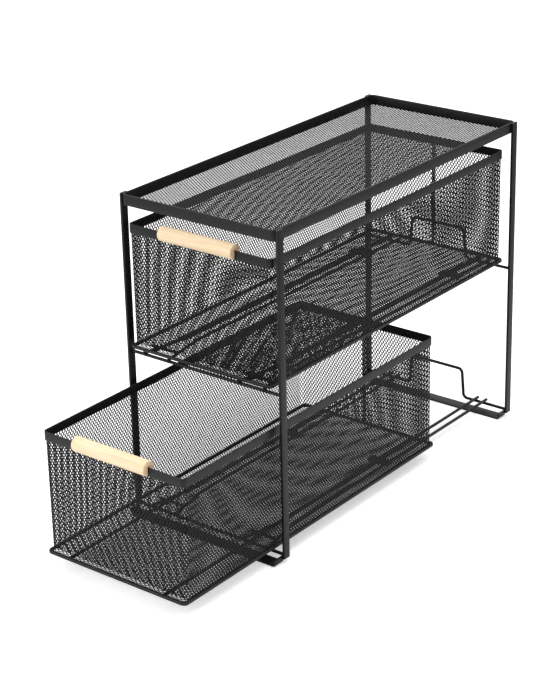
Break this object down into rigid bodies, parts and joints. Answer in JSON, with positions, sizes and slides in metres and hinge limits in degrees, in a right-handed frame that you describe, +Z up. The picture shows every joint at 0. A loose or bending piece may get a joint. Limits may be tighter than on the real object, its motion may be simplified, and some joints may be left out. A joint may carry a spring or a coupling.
{
  "type": "under sink organizer",
  "caption": "Two-tier wire and mesh organizer: a narrow black steel frame with a mesh tray on top and mesh drawers with wooden handles that slide on wire rails.",
  "frame": {"origin": "middle of the front foot's underside, on the floor, in the object's plane of symmetry", "axes": "+X to the right seen from the front, +Y from front to back (the drawers pull out along -Y), +Z up"},
  "size_m": [0.18, 0.519, 0.32],
  "materials": {
    "frame_steel": "satin black powder coat on flat strip",
    "rim_steel": "satin black powder coat on flat strip and bar",
    "wire_steel": "satin black powder coat on round wire",
    "mesh_steel": "black powder coat on diamond mesh",
    "glide_plastic": "moulded black plastic",
    "handle_wood": "pale wood, lightly sealed"
  },
  "bodies": {
    "frame": {"front_foot": "frame_steel", "rear_foot": "frame_steel", "front_left_leg": "frame_steel", "front_right_leg": "frame_steel", "rear_left_leg": "frame_steel", "rear_right_leg": "frame_steel", "tray_rim": "frame_steel", "tray_mesh": "mesh_steel", "lower_front_rod": "wire_steel", "lower_rear_rod": "wire_steel", "lower_left_inner_rail": "wire_steel", "lower_left_outer_rail": "wire_steel", "lower_left_bridge": "wire_steel", "lower_right_inner_rail": "wire_steel", "lower_right_outer_rail": "wire_steel", "lower_right_bridge": "wire_steel", "upper_front_rod": "wire_steel", "upper_rear_rod": "wire_steel", "upper_left_inner_rail": "wire_steel", "upper_left_outer_rail": "wire_steel", "upper_left_bridge": "wire_steel", "upper_right_inner_rail": "wire_steel", "upper_right_outer_rail": "wire_steel", "upper_right_bridge": "wire_steel"},
    "lower_drawer": {"lower_drawer_rim": "rim_steel", "lower_drawer_hem": "rim_steel", "lower_drawer_handle": "handle_wood", "lower_drawer_floor_mesh": "mesh_steel", "lower_drawer_front_mesh": "mesh_steel", "lower_drawer_back_mesh": "mesh_steel", "lower_drawer_left_mesh": "mesh_steel", "lower_drawer_right_mesh": "mesh_steel", "lower_drawer_left_runner": "wire_steel", "lower_drawer_right_runner": "wire_steel", "lower_drawer_left_glide": "glide_plastic", "lower_drawer_right_glide": "glide_plastic"},
    "upper_drawer": {"upper_drawer_rim": "rim_steel", "upper_drawer_hem": "rim_steel", "upper_drawer_handle": "handle_wood", "upper_drawer_floor_mesh": "mesh_steel", "upper_drawer_front_mesh": "mesh_steel", "upper_drawer_back_mesh": "mesh_steel", "upper_drawer_left_mesh": "mesh_steel", "upper_drawer_right_mesh": "mesh_steel", "upper_drawer_left_runner": "wire_steel", "upper_drawer_right_runner": "wire_steel", "upper_drawer_left_glide": "glide_plastic", "upper_drawer_right_glide": "glide_plastic"}
  },
  "joints": [
    {"name": "upper_drawer_slide", "type": "slide", "parent": "frame", "child": "upper_drawer", "axis": [0, -1, 0], "range_m": [0, 0.302]},
    {"name": "lower_drawer_slide", "type": "slide", "parent": "frame", "child": "lower_drawer", "axis": [0, -1, 0], "range_m": [-0.124, 0.178]}
  ]
}
